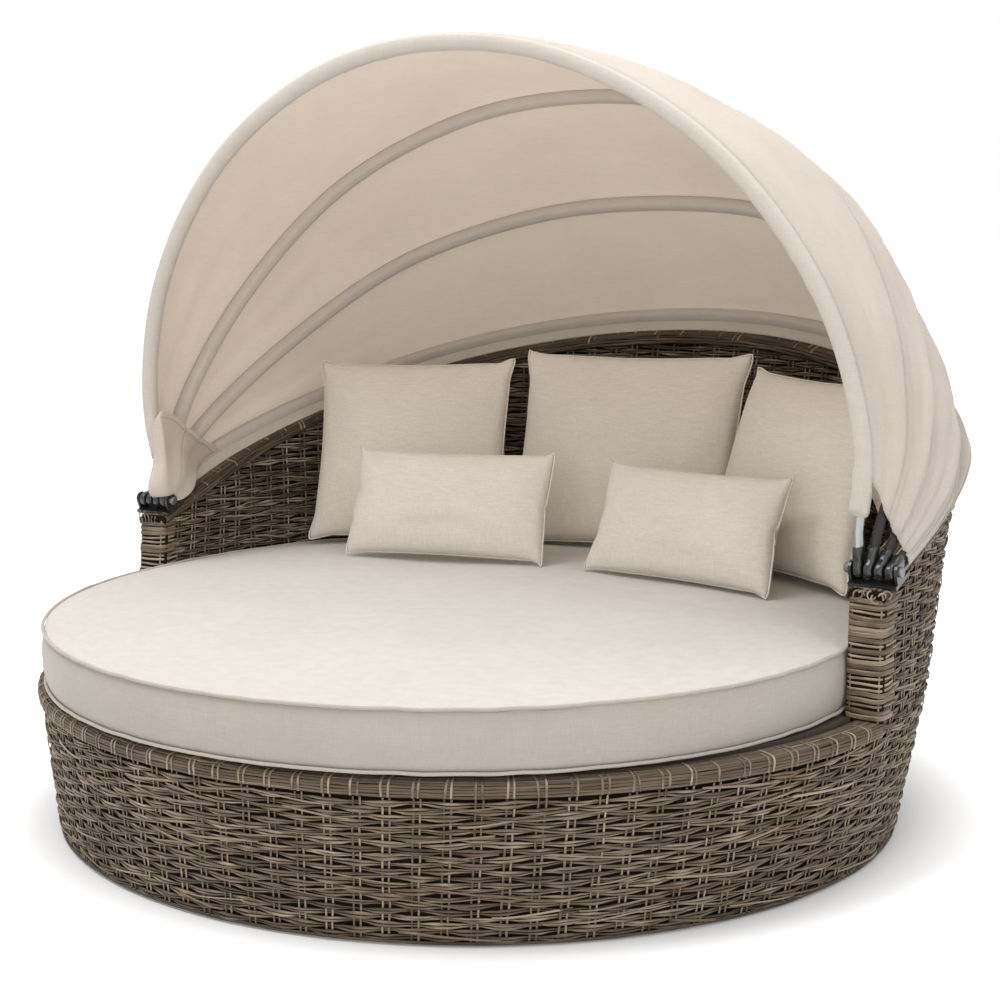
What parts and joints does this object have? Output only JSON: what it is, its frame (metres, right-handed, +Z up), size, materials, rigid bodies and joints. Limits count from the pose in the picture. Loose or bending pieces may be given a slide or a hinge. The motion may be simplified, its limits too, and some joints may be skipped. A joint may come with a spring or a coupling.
{
  "type": "outdoor daybed",
  "caption": "Round wicker daybed with a high curved back, seat cushion, loose pillows and a folding cloth hood on pivoting bows.",
  "frame": {"origin": "on the floor at the middle of the round base, under the centre leg", "axes": "+X to the right seen from the front, +Y towards the high back, +Z up"},
  "size_m": [1.7282, 1.7357, 1.4212],
  "materials": {
    "frame": "matt charcoal powder coat",
    "wicker": "flat synthetic strands, grey-brown with lighter and darker streaks",
    "wicker_inner": "the same weave in the shade of the hood",
    "bow_tube": "satin silver-grey tube",
    "black_plastic": "matt black moulding",
    "steel": "dull zinc-plated steel",
    "deck": "matt dark panel",
    "canvas": "pale beige woven canvas",
    "hem": "the same canvas doubled over and stitched",
    "cushion": "off-white woven cover with a corded edge",
    "pillow": "light beige woven cover"
  },
  "bodies": {
    "daybed": {"base_ring": "frame", "seat_ring": "frame", "back_rail": "frame", "front_post_right": "frame", "front_post_left": "frame", "arm_post_right": "frame", "back_stay_right": "frame", "back_stay_centre": "frame", "back_stay_left": "frame", "arm_post_left": "frame", "deck_beam_left": "frame", "deck_beam_right": "frame", "deck_tie": "frame", "centre_leg": "frame", "glide_back_right": "black_plastic", "glide_back_left": "black_plastic", "glide_front_left": "black_plastic", "glide_front_right": "black_plastic", "deck_panel": "deck", "drum_skin": "wicker", "back_outer_skin": "wicker", "back_inner_skin": "wicker_inner", "front_rim_roll": "wicker", "back_top_wrap": "wicker", "arm_end_right": "wicker", "arm_end_left": "wicker", "hub_bracket_right": "black_plastic", "pivot_bolt_right": "steel", "pivot_nut_right": "steel", "hub_bracket_left": "black_plastic", "pivot_bolt_left": "steel", "pivot_nut_left": "steel", "bow_rear": "bow_tube", "knuckle_rear_right": "black_plastic", "knuckle_rear_left": "black_plastic", "canopy_drop": "canvas", "sleeve_rear": "hem", "seat_cushion": "cushion", "cushion_piping_top": "cushion", "cushion_piping_bottom": "cushion", "pillow_back_left": "pillow", "pillow_back_centre": "pillow", "pillow_back_right": "pillow", "pillow_lumbar_left": "pillow", "pillow_lumbar_right": "pillow"},
    "third_bow": {"bow_third": "bow_tube", "knuckle_third_right": "black_plastic", "knuckle_third_left": "black_plastic", "canopy_panel_rear": "canvas", "sleeve_third": "hem"},
    "second_bow": {"bow_second": "bow_tube", "knuckle_second_right": "black_plastic", "knuckle_second_left": "black_plastic", "canopy_panel_middle": "canvas", "sleeve_second": "hem"},
    "front_bow": {"bow_front": "bow_tube", "knuckle_front_right": "black_plastic", "knuckle_front_left": "black_plastic", "canopy_panel_front": "canvas", "sleeve_front": "hem"}
  },
  "joints": [
    {"name": "third_bow_fold", "type": "hinge", "parent": "daybed", "child": "third_bow", "pos_m": [0, 0.0167, 0.515], "axis": [-1, 0, 0], "range_deg": [0, 14], "deforming": ["canopy_panel_rear", "sleeve_third"]},
    {"name": "second_bow_fold", "type": "hinge", "parent": "third_bow", "child": "second_bow", "pos_m": [0, 0.0167, 0.515], "axis": [-1, 0, 0], "range_deg": [0, 16.5], "deforming": ["canopy_panel_middle", "sleeve_second"]},
    {"name": "front_bow_fold", "type": "hinge", "parent": "second_bow", "child": "front_bow", "pos_m": [0, 0.0167, 0.515], "axis": [-1, 0, 0], "range_deg": [0, 25], "deforming": ["canopy_panel_front", "sleeve_front"]}
  ],
  "couplings": [
    {"joint": "second_bow_fold", "follows": "third_bow_fold", "ratio": 1.1786},
    {"joint": "front_bow_fold", "follows": "third_bow_fold", "ratio": 1.7857}
  ]
}
